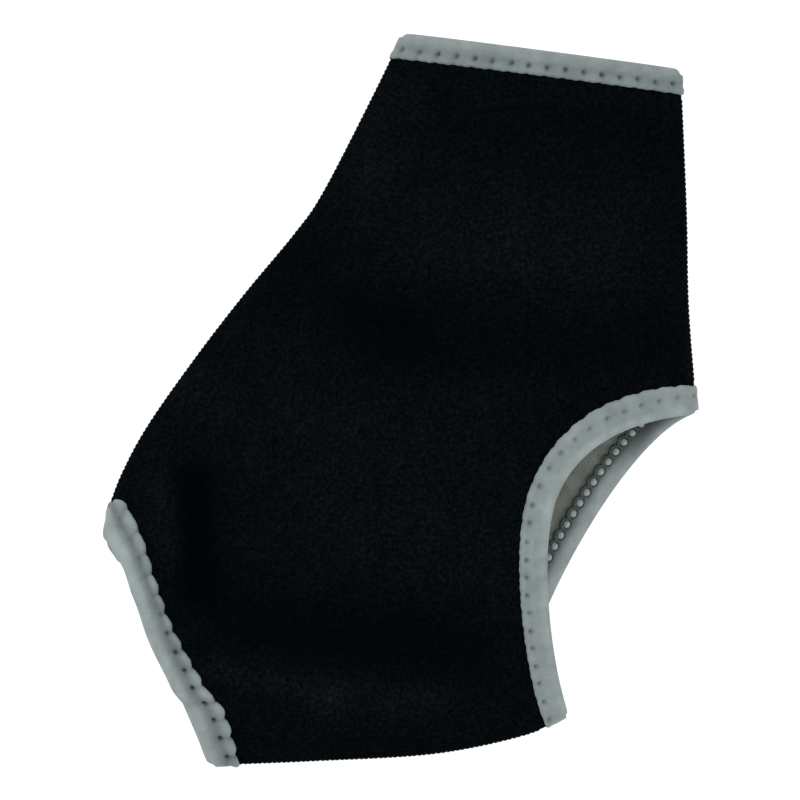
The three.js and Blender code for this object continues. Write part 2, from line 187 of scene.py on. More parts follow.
def rows_at(points):
    """The row and the share across it of points of the plan."""
    low, high = np.zeros(len(points)), np.ones(len(points))
    toe_end = look_up(shin_table, high)
    rising = cross(look_up(back_table, high) - toe_end, points - toe_end) > 0
    for _ in range(40):  # halving the span each time
        middle = (low + high) / 2
        shin = look_up(shin_table, middle)
        above = (cross(look_up(back_table, middle) - shin, points - shin) > 0) == rising
        high, low = np.where(above, middle, high), np.where(above, low, middle)
    shin = look_up(shin_table, low)
    whole = look_up(back_table, low) - shin
    return low, np.clip(((points - shin) * whole).sum(-1) / (whole**2).sum(-1), 0, 1)


# %% [markdown]
# ## The heel opening
# The opening is cut out of both panels, and the brace doesn't lie quite straight, so the near panel's arc
# is deeper than the far one's. Each arc is two smooth curves that meet at its deepest point and leave the
# seams squarely.

# %% The two arcs
def heel_arc(along, deep, start, before, after, end):
    """along and deep place the deepest point, and the rest are handles, all in shares of the heel's size."""
    chord = heel_sole - heel_top
    deepest = heel_top + chord * along + turned_right(chord) * deep
    across_tendon, across_sole = turned_right(tendon_end) * HEEL, turned_right(sole_start) * HEEL
    t = (1 - np.cos(np.linspace(0, np.pi, 61))) / 2
    upper = bezier(heel_top, heel_top + across_tendon * start, deepest - chord * before, deepest, t)
    lower = bezier(deepest, deepest + chord * after, heel_sole + across_sole * end, heel_sole, t)
    return np.vstack([upper, lower[1:]])


near_arc = heel_arc(along=0.4, deep=0.298, start=0.16, before=0.2, after=0.17, end=0.13)
far_arc = heel_arc(along=0.757, deep=0.192, start=0.12, before=0.36, after=0.1, end=0.12)
print("arcs", round(line_length(near_arc), 1), round(line_length(far_arc), 1))

# %% [markdown]
# ## The wall
# One function gives every point of the sleeve: which side, which row, which turn, and how deep under the
# outer face. The near half of a section arches up, and the far half is pressed flat by the floor. Where
# tape goes round an edge, the far half stands off the floor by the tape. Folds are soft hills and hollows
# along short lines.

# %% Sizes of the wall
FOAM, LINING, TAPE, GAP, ROLL = 2.8, 0.5, 0.9, 0.3, 2.0
WALL, PROUD = FOAM + GAP + LINING, GAP + TAPE  # PROUD is how far the tape stands off the wall
LEG_HEIGHT, ANKLE_HEIGHT, TOE_HEIGHT = 25, 30, 23
ANKLE_ROW = 0.5
NEAR_POWER, FAR_POWER = 0.75, 0.85  # the lower, the fuller a half's arch
SEAM_SHARE = 0.45  # how high the seams lie, as a share of the height
FLOOR_PRESS = 2.2  # how far below the floor the far half would hang, if the floor weren't there
FLOOR_EASE = 0.25  # the press on the floor starts gently, over this height
TAPE_WIDTH = {"leg": 5.4, "toe": 6.6, "heel": 7}
INNER_SHARE = 0.8  # the tape's inner side is this much of its outer side
PROPPED = 1.3  # the tape props the far half up over this many of its widths
LIFT_REACH = 20  # from there the far half comes down to the floor over this distance
FOLDS = [  # row, across, row, across, breadth, rise, the last two as shares of the leg edge
    (0.36, 0.1, 0.36, 0.72, 0.17, -0.026),
    (0.8, 0.16, 0.93, 0.62, 0.055, -0.018),
    (0.93, 0.8, 0.7, 0.86, 0.06, -0.014),
    (0.17, 0.45, 0.17, 0.8, 0.28, 0.014),
    (0.6, 0.35, 0.55, 0.6, 0.3, 0.018),
]

# Softer folds of the near panel, in millimetres from the shin's leg corner, each with its light and shade
# painted on.
SOFT_FOLDS = [  # x, y, x, y, breadth, rise, and how much painted light pales the face there (below 0, painted shade darkens it)
    (15, -61, 62, -68, 19, 0.0, 0.1),
    (28, -66, 52, -67, 8, 0.0, 0.04),
    (-2, -19, -12, -44, 8, 0.2, 0.07),
    (-8, -41, -9, -44, 5, 0.3, 0.1),
    (20, -24, 78, -33, 13, -0.2, -0.06),
    (-36, -72, -3, -90, 13, 0.0, -0.11),
    (-3, -91, 77, -94, 13, 0.0, -0.11),
    (-33, -120, 20, -126, 16, 0.3, 0.06),
    (-22, -149, 34, -160, 17, 0.2, 0.08),
    (-64, -138, -62, -170, 7, 0.0, -0.34),
    (-73, -137, -70, -159, 4.5, 0.5, 0.16),
    (-47, -181, 16, -189, 12, -0.5, -0.17),
    (-57, -195, -22, -204, 5, 0.6, 0.16),
    (-22, -204, 14, -204, 6, 0.6, 0.15),
    (-66, -108, -62, -113, 7, 0.2, 0.1),
    (89, -22, 90, -106, 1.3, 0.0, 0.2),
]


def smooth(x):
    x = np.clip(x, 0, 1)
    return x * x * (3 - 2 * x)


def distance_to(line, points):
    least = np.full(len(points), 1e9)
    for a, b in zip(line[:-1], line[1:]):
        step = b - a
        share = np.clip((points - a) @ step / (step @ step), 0, 1)
        least = np.minimum(least, np.linalg.norm(points - a - share[:, None] * step, axis=1))
    return least


def plan(row, across):
    shin = look_up(shin_table, row)
    return shin + (look_up(back_table, row) - shin) * np.asarray(across)[..., None]


TAPED_EDGES = {"leg": np.array([leg_front, leg_back]), "toe": np.array([toe_sole, toe_front]),
               "heel": far_arc[::2]}


def lift_at(points):
    """How far the far half stands off the floor, because of the tape under it."""
    lift = np.zeros(len(points))
    for name, line in TAPED_EDGES.items():
        beyond = np.maximum(0, distance_to(line, points) - PROPPED * TAPE_WIDTH[name])
        lift = np.maximum(lift, PROUD * smooth(1 - beyond / LIFT_REACH))
    return lift


def nearness(line, breadth, points):
    """1 on a fold's line, fading to 0 beyond its breadth."""
    return np.exp(-((distance_to(np.array(line), points) / breadth) ** 2))


def fold_at(points):
    rise = np.zeros(len(points))
    for row0, across0, row1, across1, breadth, height in FOLDS:
        line = plan(np.array([row0, row1]), np.array([across0, across1]))
        rise += height * LENGTHS["leg"] * nearness(line, breadth * LENGTHS["leg"], points)
    for x0, y0, x1, y1, breadth, height, _ in SOFT_FOLDS:
        if height:
            rise += height * nearness([(x0, y0), (x1, y1)], breadth, points)
    return rise


def painted_fold_light_at(points):
    """Painted light and shade on the near panel's folds, as a factor on its colour: 0.5 where none is
    painted.
    """
    painted_fold_light = np.full(len(points), 0.5)
    for x0, y0, x1, y1, breadth, _, fold_light_change in SOFT_FOLDS:
        painted_fold_light += fold_light_change * nearness([(x0, y0), (x1, y1)], breadth, points)
    return np.clip(painted_fold_light, 0.1, 0.85)


# %% A point of the wall
def height_at(row):
    upper = LEG_HEIGHT + (ANKLE_HEIGHT - LEG_HEIGHT) * smooth(row / ANKLE_ROW)
    lower = ANKLE_HEIGHT + (TOE_HEIGHT - ANKLE_HEIGHT) * smooth((row - ANKLE_ROW) / (1 - ANKLE_ROW))
    return np.where(row < ANKLE_ROW, upper, lower)


def wall(side, row, turn, depth):
    """Points of the wall in millimetres. side is 1 near, -1 far, 0 on a seam."""
    side, row, turn, depth = np.broadcast_arrays(*(np.asarray(v, float) for v in (side, row, turn, depth)))
    shape = row.shape
    side, row, turn, depth = side.ravel(), row.ravel(), np.clip(turn.ravel(), 0, 1), depth.ravel()
    shin, back = look_up(shin_table, row), look_up(back_table, row)
    width = np.linalg.norm(back - shin, axis=1)
    place = shin + (back - shin) * ((depth + (width - 2 * depth) * across_at(turn)) / width)[:, None]
    height = height_at(row)
    seam = SEAM_SHARE * height
    arch = np.sin(np.pi * turn)
    near = seam + GAP / 2 + (height - seam - depth) * arch**NEAR_POWER + arch * fold_at(place)
    far = seam - GAP / 2 - (seam + FLOOR_PRESS - depth) * arch**FAR_POWER
    floor = lift_at(place) + depth
    eased = floor + (far - floor + FLOOR_EASE) ** 2 / (4 * FLOOR_EASE)
    far = np.where(np.abs(far - floor) < FLOOR_EASE, eased, np.maximum(far, floor))
    z = np.where(side > 0, near, np.where(side < 0, far, seam))
    return np.column_stack([place, z]).reshape(*shape, 3)


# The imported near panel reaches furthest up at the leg's front corner, and furthest right at the heel's top
# corner. These two corners bring the outline's own millimetres into the part's frame.
near_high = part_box("near_panel")[1]
SHIFT = np.array([near_high.x * 1000 - heel_top[0], near_high.y * 1000 - leg_front[1], 0])
print("shift to the row frame", SHIFT.round(2))

# %% [markdown]
# ## From points to meshes
# A grid of points becomes quads. A panel is two grids, outside and inside, closed by a strip round the rim,
# so it has its real thickness. Faces point outwards, and edges sharper than 50 degrees stay crisp while the
# rest is smooth.

# %% Mesh helpers
def link_object(name, data):
    thing = bpy.data.objects.new(name, data)
    scene.collection.objects.link(thing)
    return thing


def make_object(name, points, faces, sharp=50):
    """A mesh object from points in millimetres."""
    mesh = bpy.data.meshes.new(name)
    mesh.from_pydata(((np.asarray(points) + SHIFT) / 1000).tolist(), [], faces)
    mesh.validate()
    p = np.array([v.co[:] for v in mesh.vertices])
    mesh.calc_loop_triangles()
    t = np.array([tri.vertices[:] for tri in mesh.loop_triangles])
    a, b, c = p[t[:, 0]], p[t[:, 1]], p[t[:, 2]]
    if (a * np.cross(b, c)).sum() < 0:
        mesh.flip_normals()
    mesh.shade_smooth()
    mesh.set_sharp_from_angle(angle=math.radians(sharp))
    print(f"{name}: {len(points)} points, {len(t)} triangles")
    return link_object(name, mesh)


def keep_values(mesh, label, values, kind="FLOAT", field="value"):
    """Stores one number or vector per point, for a finish or a sewing tree to read."""
    attribute = mesh.attributes.new(label, kind, "POINT")
    attribute.data.foreach_set(field, np.ascontiguousarray(values, np.float32).ravel())


def grid_faces(rows, across, offset=0, flip=False, wrap=False):
    faces = []
    for j in range(rows if wrap else rows - 1):
        for i in range(across - 1):
            a, b = j * across + i, ((j + 1) % rows) * across + i
            quad = (offset + a, offset + b, offset + b + 1, offset + a + 1)
            faces.append(quad[::-1] if flip else quad)
    return faces


def shell(name, outer, inner):
    """A closed sheet between two grids of points."""
    rows, across = outer.shape[:2]
    layer = rows * across
    faces = grid_faces(rows, across) + grid_faces(rows, across, layer, flip=True)
    rim = list(range(across - 1)) + [(j + 1) * across - 1 for j in range(rows - 1)]
    rim += [(rows - 1) * across + i for i in range(across - 1, 0, -1)]
    rim += [j * across for j in range(rows - 1, 0, -1)]
    faces += [(a, b, layer + b, layer + a) for a, b in zip(rim, rim[1:] + rim[:1])]
    return make_object(name, np.vstack([outer.reshape(-1, 3), inner.reshape(-1, 3)]), faces)


# %% [markdown]
# ## The openings' edges
# Each opening has an edge that goes once round: over the near panel and back under the far one. An edge is
# written as a function of a number from 0 to 2, so that tape and stitches can be spaced evenly along it.

# %% Edges of the leg and toe openings
TOE_WAVES = {  # by side: share across, and how far the edge stands out, as a share of its length
    1: [(0, 0.007), (0.06, 0.008), (0.19, 0), (0.31, 0.008), (0.5, 0.019), (0.69, 0.012), (0.8, -0.013),
        (1, 0)],
    -1: [(0, 0.007), (0.06, 0.017), (0.12, 0.012), (0.19, -0.008), (0.35, 0), (1, 0)],
}


def wave_at(waves, across):
    x, y = np.array(waves).T
    i = np.clip(np.searchsorted(x, across) - 1, 0, len(x) - 2)
    return y[i] + (y[i + 1] - y[i]) * smooth((across - x[i]) / (x[i + 1] - x[i]))


def slopes(row, across):
    """How the plan moves with the row, and with the share across."""
    step = 0.002
    by_row = (plan(row + step, across) - plan(row - step, across)) / (2 * step)
    return by_row, look_up(back_table, row) - look_up(shin_table, row)


ON_SEAM = 1e-9  # nearer than this, a place counts as on the seam


def side_and_share(around):
    """The side that a place round an edge is on, and its share of the way from the first seam."""
    return np.where(around < 1, 1.0, -1.0), np.where(around < 1, around, 2 - around)


def off_seams(share, values):
    """The values, with 0 for each place on a seam."""
    return np.where((share <= ON_SEAM) | (share >= 1 - ON_SEAM), 0, values)


def straight_edge(row, line, waves=None):
    """The edge of an opening that runs straight along a row, apart from its waves."""
    inwards = unit(turned_right(line))

    def edge(around):
        side, turn = side_and_share(around)
        across = across_at(turn)
        row_step = 1 / (slopes(np.full(len(around), float(row)), across)[0] @ inwards)
        out = np.zeros(len(around))
        if waves:
            for s in (1, -1):
                out = np.where(side == s, wave_at(waves[s], across) * LENGTHS["toe"], out)
        return {"side": off_seams(turn, side), "row": row - out * row_step, "across": across,
                "row_step": row_step, "across_step": np.zeros(len(around))}

    return edge


leg_edge = straight_edge(0, leg_back - leg_front)
toe_edge = straight_edge(1, toe_front - toe_sole, TOE_WAVES)


# %% Edge of the heel opening
def arc_places(side, arc):
    """Row and share along an arc, with the length of the way over the wall."""
    row, across = rows_at(arc)
    row[0], across[0], row[-1], across[-1] = ROW_A, 1, ROW_B, 1
    rim = wall(side, row, turn_at(across), 0)
    reach = reach_along(rim)
    tangent = np.gradient(arc, axis=0)
    tangent[0], tangent[-1] = arc[1] - arc[0], arc[-1] - arc[-2]
    return {"row": row, "across": across, "reach": reach / reach[-1], "tangent": unit_rows(tangent)}


arc_data = {1: arc_places(1, near_arc), -1: arc_places(-1, far_arc)}


def heel_edge(around):
    """Near arc from the tendon to the sole for 0 to 1, and the far arc back for 1 to 2."""
    side, share = side_and_share(around)
    out = {k: np.zeros(len(around)) for k in ("row", "across", "row_step", "across_step")}
    for s, data in arc_data.items():
        row = np.interp(share, data["reach"], data["row"])
        across = np.interp(share, data["reach"], data["across"])
        tangent = read_table(data["tangent"], data["reach"], share)
        inwards = turned_right(tangent)
        by_row, by_across = slopes(row, across)
        area = cross(by_row, by_across)
        steps = {"row": row, "across": across, "row_step": cross(inwards, by_across) / area,
                 "across_step": cross(by_row, inwards) / area}
        for k, v in steps.items():
            out[k] = np.where(side == s, v, out[k])
    out["across_step"] = off_seams(share, out["across_step"])
    return {"side": off_seams(share, side), **out}


EDGES = {"leg": leg_edge, "toe": toe_edge, "heel": heel_edge}


# %% Places on the wall beside an edge
def beside(edge, inwards, depth):
    """Points at some millimetres inwards from an edge and at a depth under the outer face."""
    row = edge["row"] + edge["row_step"] * inwards
    turn = turn_at(edge["across"] + edge["across_step"] * inwards)
    return wall(edge["side"], row, turn, depth)


ALL_ROUND = np.linspace(0, 2, 1601)
MOSTLY_FROM_ABOVE = [1, 1, 0.3]  # a way up counts for less than a way across


def evenly(name, count, first=0.0):
    """Places round an edge, as even as they look from above, and the length that way."""
    rim = beside(EDGES[name](ALL_ROUND), 0.0, 0.0) * MOSTLY_FROM_ABOVE
    reach = reach_along(rim)
    length = reach[-1]
    return np.interp((first + np.arange(count) / count * length) % length, reach, ALL_ROUND), length


def way_round(name):
    """How much tape the edge takes, middle of the roll."""
    return line_length(beside(EDGES[name](ALL_ROUND), 0.0, WALL / 2))


for name in EDGES:
    print(name, "edge is", round(way_round(name), 1), "mm round")

# %% [markdown]
# ## The panels
# A panel's rows run from the shin seam to the back seam, or to the cut-out where there is one. Cutting a
# hole with a boolean would leave ragged triangles at the rim, so the rows are bent to end on the arc
# itself.

# %% Rows of a panel
EVENNESS = 0.4  # the heel's rows lie partly evenly and partly closer together towards its corners


def panel_places(side, leg_rows=46, heel_rows=110, toe_rows=44, columns=120):
    """The row and turn of each point of a panel's grid."""
    turns = np.linspace(0, 1, columns + 1)
    around = np.clip(turns if side > 0 else 2 - turns, 1e-7, 2 - 1e-7)
    leg, toe = leg_edge(around), toe_edge(around)
    rows, places = [], []
    for j in np.linspace(0, 1, leg_rows + 1):
        rows.append(leg["row"] * (1 - j) + ROW_A * j)
        places.append(turns)
    even = np.linspace(0, 1, heel_rows + 1)[1:-1]
    eased = even * EVENNESS + across_at(even) * (1 - EVENNESS)
    heel = heel_edge(eased if side > 0 else 2 - eased)
    for j, row, across in zip(even, heel["row"], heel["across"]):
        start = ROW_A + (ROW_B - ROW_A) * j
        missing = 1 - turn_at(across)
        rows.append(start + (row - start) * turns)
        places.append(turns - missing * turns**3)
    for j in np.linspace(0, 1, toe_rows + 1):
        rows.append(ROW_B * (1 - j) + toe["row"] * j)
        places.append(turns)
    return np.array(rows), np.array(places)


# %% The near and far panels
FAR_FOLD_LIGHT = 0.45  # the far panel gets one level all over, and no painted fold light


def panel(name, side):
    rows, turns = panel_places(side)
    # the thread draws the cloth in by 0.3 mm along both seams
    seam_dip = 0.3 * (np.exp(-((turns * 12) ** 2)) + np.exp(-(((1 - turns) * 12) ** 2)))
    outer = wall(side, rows, turns, seam_dip)
    inner = wall(side, rows, turns, FOAM)
    piece = shell(name, outer, inner)
    places = np.vstack([outer.reshape(-1, 3), inner.reshape(-1, 3)])[:, :2]
    # the near panel's points keep the painted light and shade of its folds
    keep_values(piece.data, "painted_fold_light", painted_fold_light_at(places) if side > 0 else np.full(len(places), FAR_FOLD_LIGHT))
    return piece


near_fabric = panel("near_foam_panel", 1)
far_fabric = panel("far_foam_panel", -1)


# %% The linings
def lining(name, side):
    rows, turns = panel_places(side, 30, 70, 30, 80)
    return shell(name, wall(side, rows, turns, FOAM + GAP / 2), wall(side, rows, turns, WALL))


near_jersey = lining("near_jersey_lining", 1)
far_jersey = lining("far_jersey_lining", -1)

# %% [markdown]
# ## The folded tape
# Knit tape is folded over each raw edge and sewn through with a zigzag. The needle pulls a row of dimples
# into it, and the knit bulges between the stitches, which scallops its border. A plain band with a bump
# texture would lose the scallops from the side, so the dimples and lobes are in the mesh.

# %% How each tape is sewn
# Millimetres for the pitch, the first stitch's place, where the needle goes in from the free edge, how deep
# it pulls, how far the knit bulges between stitches and how far its lobes reach out. The last three are
# painted: how dark the shade in the needle holes and along the groove is painted, and the whole tape's
# painted level of light, lower for a tape in shade.
SEWING_COLUMNS = ("pitch", "first", "needle", "pull", "bulge", "reach", "hole", "groove", "shade")
SEWING = {
    "leg": (5.46, 3.9, 3.1, 0.8, 0.25, 0.2, 0.58, 0.13, 0.8),
    "toe": (5.8, 1.5, 4.4, 0.8, 0.75, 0.85, 0.6, 0.38, 0.93),
    "heel": (5.35, 2.0, 4.3, 0.7, 0.12, 0.42, 0.34, 0.04, 0.92),
}
SEWING = {name: dict(zip(SEWING_COLUMNS, row)) for name, row in SEWING.items()}
# How much wider the outer side of the tape is, by place round the edge.
WIDER = {
    "leg": [(0, -0.2), (0.25, 0), (0.9, 0.45), (1, 0.4), (2, 0)],
    "toe": [(0, -6.2), (0.05, -4.4), (0.1, -1), (0.16, 2.8), (0.24, 2.4), (0.34, 0.7), (0.44, -0.3),
            (0.56, 0.6), (0.68, 1.8), (0.8, 1.2), (1, 0), (1.9, -2), (2, -6.2)],
    "heel": [(0, 0.2), (0.12, 1.1), (0.25, 1.4), (0.42, 0.3), (1, -0.4), (2, 0)],
}
CHAIN_INSET = {"leg": 3.2, "toe": 4.0, "heel": 4.2}
STEPS_PER_STITCH = 16
HEM, THIN = 0.8, 0.05  # the tape's borders round down over this width, to this much above the wall
CHAIN_PRESS, GROOVE_DIP = 0.45, 0.14  # how deep the chain and the sewing line sit in the tape
PRICK = 0.7  # how far a needle hole's dent reaches
random = np.random.default_rng(7)


# %% Helpers for the tape
def bell(distance, breadth):
    return np.exp(-((distance / breadth) ** 2))


def rounding(inwards_from_border):
    """A quarter round at a border: 0 on it, 1 where the tape is at its full thickness."""
    return np.sqrt(np.clip(1 - (1 - np.clip(inwards_from_border / HEM, 0, 1)) ** 2, 0, 1))


def drawn_back(name, edge, inset):
    """An inset on the lining side, drawn back by the heel's seams, where the wall's thickness sets it in."""
    if name != "heel":
        return np.full(len(edge["across"]), inset)
    return inset - 0.55 * (WALL + PROUD) * np.clip(2 * edge["across"] - 1, 0, 1)


# %% The stitches of a tape
def stitch_places(name):
    """Places round the edge, with each one's way to its stitch and the stitches' small differences."""
    sewing = SEWING[name]
    stitches = round(evenly(name, 10)[1] / sewing["pitch"])
    count = stitches * STEPS_PER_STITCH
    around, _ = evenly(name, count, sewing["first"])
    s = np.arange(count) / STEPS_PER_STITCH
    nearest, lobe_number = np.round(s).astype(int) % stitches, np.floor(s).astype(int)
    return {
        "around": around,
        "s": s,
        "from_stitch": (s - np.round(s)) * sewing["pitch"] + random.uniform(-0.2, 0.2, stitches)[nearest],
        "lively": random.uniform(0.75, 1.2, stitches)[lobe_number],
        "pull": sewing["pull"] * random.uniform(0.75, 1.2, stitches)[nearest],
        "needle": sewing["needle"] + random.uniform(-0.15, 0.15, stitches)[nearest],
        "hole": sewing["hole"] * random.uniform(0.75, 1.1, stitches)[nearest],
        "reach": sewing["reach"] * np.ones(count),
    }


# %% The three tapes
def tape(name):
    """Rows of points from the outer border over the free edge to the inner border, and back underneath."""
    sewing, width, places = SEWING[name], TAPE_WIDTH[name], stitch_places(name)
    around, s, from_stitch, lively, pull, needle, hole_shade, reach = places.values()
    count = len(around)
    edge = EDGES[name](around)
    turn = turn_at(edge["across"])
    pinch = 1 - 0.6 * (bell(turn, 0.07) + bell(1 - turn, 0.07))  # the seams draw the tape in
    lobe = np.sin(np.pi * (s % 1)) ** 2
    if name == "toe":  # drawn tight only towards the sole
        tight = 0.25 + 0.75 * smooth((around - 0.38) / 0.2)
        hole_shade, pull = hole_shade * tight, pull * tight
    if name == "heel":  # looser round the heel, so the holes are fainter there and the border waves
        tight = smooth((around - 0.22) / 0.28)
        needle, reach = needle + 0.8 * tight, reach * (1 - 0.6 * tight)
        hole_shade = hole_shade * (0.85 + 0.6 * tight)
    border = width + np.interp(around, *np.array(WIDER[name]).T)
    border = border + reach * lively * (np.sqrt(lobe) - 0.6) + 0.07 * np.sin(4 * np.pi * s)
    hem = np.maximum(border - needle, 0.6)
    middle, half = WALL / 2, WALL / 2 + PROUD
    points, shades = [], []

    # the outer face, from its border to the free edge
    for share in np.concatenate([[0, 0.02, 0.05, 0.09, 0.14], np.linspace(0.18, 1, 23)]):
        inwards = border * (1 - share)
        puff = sewing["bulge"] * lively * lobe * np.sin(np.pi * np.clip((border - inwards) / hem, 0, 1))
        hole = bell(from_stitch, PRICK) * bell(inwards - needle, PRICK)
        groove = bell(inwards - needle, 1.0)
        stand = (PROUD - THIN) * pinch + puff - pull * hole - GROOVE_DIP * groove
        points.append(beside(edge, inwards, -(THIN + stand * rounding(border - inwards))))
        # painted shade in the needle holes, along the sewing line and in the notches between lobes; painted
        # light towards the free edge and on the lobes
        notch = bell(from_stitch, PRICK) * np.clip((inwards - needle) / hem, 0, 1)
        dark = hole_shade * bell(from_stitch, 0.76) * bell(inwards - needle, 0.72)
        dark = dark + sewing["groove"] * (bell(inwards - needle + 0.5, 2.1) + 0.9 * notch)
        painted_light = 0.15 * smooth(1 - inwards / 2.5) + 0.13 * sewing["bulge"] * lobe * (inwards > needle)
        shades.append(1 - dark + painted_light)
    # the roll round the free edge, fuller at the toe's shin corner, where the far side's needle holes show.
    # The roll is painted light, with painted shade in those holes, and near the tendon the heel's far tape
    # gets a painted shadow where the near tape lies over it
    painted_wedge_shadow = 0.8 * smooth((around - 1.66) / 0.2) if name == "heel" else np.zeros(count)
    corner = name == "toe"
    fuller = ROLL * (1 + 0.35 * corner * bell(around - 0.07, 0.06))
    for angle in np.linspace(0, np.pi, 13)[1:-1]:
        prick = corner * (around > 1.8) * bell(from_stitch, 0.8) * bell(angle - 2.3, 0.4)
        outwards = fuller * (1 - 0.2 * prick) * math.sin(angle)
        points.append(beside(edge, -outwards, middle - half * pinch * math.cos(angle)))
        shades.append(1.14 - painted_wedge_shadow * smooth(2 * angle / np.pi - 0.7) - 0.7 * prick)
    # the inner face, to its border, pressed in by the chain. Its colour is painted darker away from the free
    # edge, with painted shade along the chain and the painted shadow near the tendon
    inner_width = drawn_back(name, edge, INNER_SHARE * width)
    chain_inset = drawn_back(name, edge, CHAIN_INSET[name])
    for share in np.linspace(0, 1, 16):
        inwards = inner_width * share
        stand = (PROUD - THIN) * pinch - CHAIN_PRESS * bell(inwards - chain_inset, 1.5)
        points.append(beside(edge, inwards, WALL + THIN + stand * rounding(inner_width - inwards)))
        shades.append(1.14 - 0.4 * smooth(inwards / 3.2) - 0.18 * bell(inwards - chain_inset, 1.7) - painted_wedge_shadow)
    # back under the tape, close to the wall, painted in shade
    way_back = [(inner_width, WALL + 0.02), (-GAP, WALL + 0.02), (-GAP, -0.02), (width * 0.6, -0.02)]
    for inwards, depth in way_back:
        points.append(beside(edge, inwards, depth))
        shades.append(np.full(count, 0.7))
    grid = np.array(points).transpose(1, 0, 2)
    grid[..., 2] = np.maximum(grid[..., 2], 0)  # the floor presses the lobes flat
    across = grid.shape[1]
    faces = grid_faces(count, across, wrap=True)
    for j in range(count):
        here, there = j * across, (j + 1) % count * across
        faces.append((here + across - 1, there + across - 1, there, here))
    piece = make_object(f"{name}_tape", grid.reshape(-1, 3), faces, sharp=70)
    # the points keep the painted light and shade, times the whole tape's painted level
    keep_values(piece.data, "shade", sewing["shade"] * np.array(shades).T)
    return piece


tapes = {name: tape(name) for name in EDGES}

# %% [markdown]
# ## Stitches
# Sewing repeats one small shape along a line, which is what Geometry Nodes are for. A line of points
# carries two directions: along the seam and out of the cloth. The tree puts one stitch on each point, turns
# it to those directions, makes the copies real and gives them their thread.

# %% A helper for nodes
def add_node(tree, kind, inputs=None, **settings):
    """Adds a node. Each input takes a plain value or another node's output."""
    node = tree.nodes.new(kind)
    for name, value in settings.items():
        setattr(node, name, value)
    for socket, value in (inputs or {}).items():
        if isinstance(value, bpy.types.NodeSocket):
            tree.links.new(value, node.inputs[socket])
        else:
            node.inputs[socket].default_value = value
    return node


# %% A tree that sews
def sewing_tree(name, unit_nodes, inputs):
    tree = bpy.data.node_groups.new(name, "GeometryNodeTree")
    for label, kind, value in [("Geometry", "NodeSocketGeometry", None), *inputs]:
        socket = tree.interface.new_socket(label, in_out="INPUT", socket_type=kind)
        if value is not None:
            socket.default_value = value
    tree.interface.new_socket("Geometry", in_out="OUTPUT", socket_type="NodeSocketGeometry")
    given = add_node(tree, "NodeGroupInput").outputs
    ways = [add_node(tree, "GeometryNodeInputNamedAttribute", {"Name": way}, data_type="FLOAT_VECTOR")
            for way in ("outwards", "along")]
    turn = add_node(tree, "FunctionNodeAxesToRotation", {"Primary Axis": ways[0].outputs["Attribute"],
                                                         "Secondary Axis": ways[1].outputs["Attribute"]},
                    primary_axis="Z", secondary_axis="X")
    place = add_node(tree, "GeometryNodeInstanceOnPoints", {
        "Points": given["Geometry"], "Instance": unit_nodes(tree, given),
        "Rotation": turn.outputs["Rotation"]})
    real = add_node(tree, "GeometryNodeRealizeInstances", {"Geometry": place.outputs["Instances"]})
    soft = add_node(tree, "GeometryNodeSetShadeSmooth", {"Geometry": real.outputs["Geometry"]})
    finish = add_node(tree, "GeometryNodeSetMaterial", {
        "Geometry": soft.outputs["Geometry"], "Material": given["Thread"]})
    add_node(tree, "NodeGroupOutput", {"Geometry": finish.outputs["Geometry"]})
    return tree


# %% One stitch, one loop and one pip
def swept(tree, given, curve, sides):
    """A round thread along a curve."""
    ring = add_node(tree, "GeometryNodeCurvePrimitiveCircle", {
        "Resolution": sides, "Radius": given["Thread radius"]})
    sweep = add_node(tree, "GeometryNodeCurveToMesh", {
        "Curve": curve.outputs[0], "Profile Curve": ring.outputs["Curve"], "Fill Caps": True})
    return sweep.outputs["Mesh"]


def stretched(tree, shape, sizes):
    """A shape of radius 1, stretched to its half sizes."""
    scale = add_node(tree, "ShaderNodeCombineXYZ", dict(zip("XYZ", sizes)))
    return add_node(tree, "GeometryNodeTransform", {"Geometry": shape.outputs[0], "Scale": scale.outputs[0]})


def bar_unit(tree, given):
    """A short thread that dips into the cloth at both ends."""
    ends = []
    for share in (-0.5, 0.5):
        half = add_node(tree, "ShaderNodeMath", {0: given["Length"], 1: share}, operation="MULTIPLY")
        ends.append(add_node(tree, "ShaderNodeCombineXYZ", {"X": half.outputs[0], "Z": -0.0002}).outputs[0])
    top = add_node(tree, "ShaderNodeCombineXYZ", {"Z": 0.0005})
    arc = add_node(tree, "GeometryNodeCurveQuadraticBezier", {
        "Resolution": 6, "Start": ends[0], "Middle": top.outputs[0], "End": ends[1]})
    return swept(tree, given, arc, 6)


def loop_unit(tree, given):
    """A loop of the chain on the inside: an oval ring of thread."""
    circle = add_node(tree, "GeometryNodeCurvePrimitiveCircle", {"Resolution": 14, "Radius": 1})
    return swept(tree, given, stretched(tree, circle, (given["Half length"], given["Half width"], 1)), 5)


def pip_unit(tree, given):
    """A pip of tape that swells up inside a loop."""
    ball = add_node(tree, "GeometryNodeMeshUVSphere", {"Segments": 10, "Rings": 6, "Radius": 1})
    sizes = given["Half length"], given["Half width"], given["Height"]
    return stretched(tree, ball, sizes).outputs["Geometry"]


FLOAT = "NodeSocketFloat"
THREAD = ("Thread", "NodeSocketMaterial", None)
RADIUS = ("Thread radius", FLOAT, 0.0002)
HALVES = [("Half length", FLOAT, 0.001), ("Half width", FLOAT, 0.001)]
bar_tree = sewing_tree("Sewn bars", bar_unit, [THREAD, RADIUS, ("Length", FLOAT, 0.003)])
loop_tree = sewing_tree("Chain loops", loop_unit, [THREAD, RADIUS, *HALVES])
pip_tree = sewing_tree("Chain pips", pip_unit, [THREAD, *HALVES, ("Height", FLOAT, 0.0005)])
print("sewing trees", [t.name for t in (bar_tree, loop_tree, pip_tree)])

